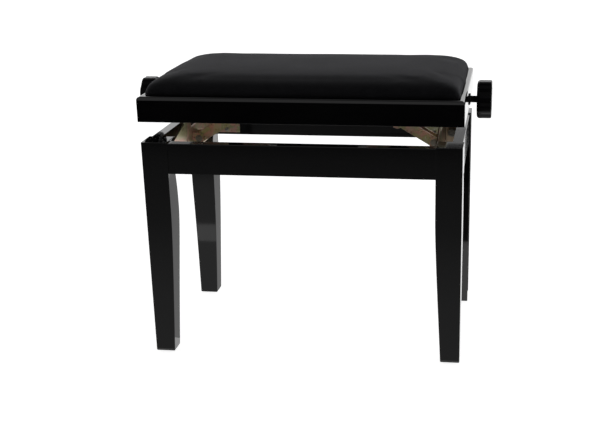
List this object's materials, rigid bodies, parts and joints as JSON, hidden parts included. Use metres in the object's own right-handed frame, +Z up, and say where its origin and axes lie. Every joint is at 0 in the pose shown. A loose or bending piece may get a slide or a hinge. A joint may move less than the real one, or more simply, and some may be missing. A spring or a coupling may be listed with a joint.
{
  "type": "piano bench",
  "caption": "Height-adjustable piano bench: shaped legs, aprons, a seat frame with an upholstered velour cushion, and a screw lift turned by knobs at the ends.",
  "frame": {"origin": "on the floor under the middle of the bench", "axes": "+X along the bench towards its right-hand knob, +Y to the back, +Z up"},
  "size_m": [0.631, 0.338, 0.499],
  "materials": {
    "black_lacquer": "high-gloss black lacquer",
    "velour": "short-pile black velour",
    "foam": "open-cell foam",
    "dark_board": "plywood stained black",
    "beech": "raw beech",
    "yellow_zinc": "yellow chromate over zinc",
    "black_steel": "blackened steel",
    "steel": "bright zinc",
    "bush_steel": "dark zinc",
    "knob_plastic": "gloss moulded plastic",
    "glide_plastic": "matt nylon"
  },
  "bodies": {
    "base": {"leg_front_left": "black_lacquer", "leg_front_right": "black_lacquer", "leg_rear_left": "black_lacquer", "leg_rear_right": "black_lacquer", "apron_front": "black_lacquer", "apron_rear": "black_lacquer", "apron_left": "black_lacquer", "apron_right": "black_lacquer", "apron_dowels": "beech", "corner_blocks": "beech", "corner_block_screws": "steel", "leg_bolts": "steel", "leg_bolt_washers": "steel", "foot_glides": "glide_plastic", "end_bracket_left": "yellow_zinc", "end_bracket_right": "yellow_zinc", "end_bracket_screws": "steel", "base_pivot_pins": "steel", "base_pivot_clips": "steel"},
    "seat": {"rail_front": "black_lacquer", "rail_rear": "black_lacquer", "rail_left": "black_lacquer", "rail_right": "black_lacquer", "rail_corner_blocks": "beech", "seat_board": "dark_board", "seat_board_screws": "steel", "seat_foam": "foam", "seat_cover": "velour", "spindle_bush_left": "bush_steel", "spindle_bush_right": "bush_steel", "seat_bracket_left": "yellow_zinc", "seat_bracket_right": "yellow_zinc", "seat_bracket_screws": "steel", "link_pivot_pins": "steel"},
    "spindle": {"spindle": "black_steel", "knob_left": "knob_plastic", "knob_right": "knob_plastic", "thrust_collars": "steel", "collar_grub_screws": "steel"},
    "nut_left": {"nut_left": "steel", "nut_clips_left": "steel"},
    "nut_right": {"nut_right": "steel", "nut_clips_right": "steel"},
    "arm_left": {"arm_left": "yellow_zinc", "mid_pin_left": "steel"},
    "arm_right": {"arm_right": "yellow_zinc", "mid_pin_right": "steel"},
    "link_left": {"link_left": "yellow_zinc"},
    "link_right": {"link_right": "yellow_zinc"}
  },
  "joints": [
    {"name": "seat_lift", "type": "slide", "parent": "base", "child": "seat", "axis": [0, 0, 1], "range_m": [-0.034, 0.05]},
    {"name": "spindle_turn", "type": "hinge", "parent": "seat", "child": "spindle", "pos_m": [0, 0, 0.4365], "axis": [1, 0, 0], "range_deg": [-2682.7, 3945.1]},
    {"name": "nut_slide_left", "type": "slide", "parent": "seat", "child": "nut_left", "axis": [-1, 0, 0], "range_m": [-0.02236, 0.03288]},
    {"name": "nut_slide_right", "type": "slide", "parent": "seat", "child": "nut_right", "axis": [1, 0, 0], "range_m": [-0.02236, 0.03288]},
    {"name": "arm_swing_left", "type": "hinge", "parent": "base", "child": "arm_left", "pos_m": [-0.215, 0, 0.3605], "axis": [0, -1, 0], "range_deg": [-15.38, 22.62]},
    {"name": "arm_swing_right", "type": "hinge", "parent": "base", "child": "arm_right", "pos_m": [0.215, 0, 0.3605], "axis": [0, 1, 0], "range_deg": [-15.38, 22.62]},
    {"name": "link_swing_left", "type": "hinge", "parent": "seat", "child": "link_left", "pos_m": [-0.215, 0, 0.4365], "axis": [0, 1, 0], "range_deg": [-16.01, 23.54]},
    {"name": "link_swing_right", "type": "hinge", "parent": "seat", "child": "link_right", "pos_m": [0.215, 0, 0.4365], "axis": [0, -1, 0], "range_deg": [-16.01, 23.54]}
  ],
  "couplings": [
    {"joint": "spindle_turn", "follows": "seat_lift", "rad_per_m": 1376.4},
    {"joint": "nut_slide_left", "follows": "seat_lift", "ratio": 0.65719},
    {"joint": "arm_swing_left", "follows": "seat_lift", "rad_per_m": 7.8914},
    {"joint": "link_swing_left", "follows": "seat_lift", "rad_per_m": 8.213},
    {"joint": "nut_slide_right", "follows": "seat_lift", "ratio": 0.65719},
    {"joint": "arm_swing_right", "follows": "seat_lift", "rad_per_m": 7.8914},
    {"joint": "link_swing_right", "follows": "seat_lift", "rad_per_m": 8.213}
  ]
}
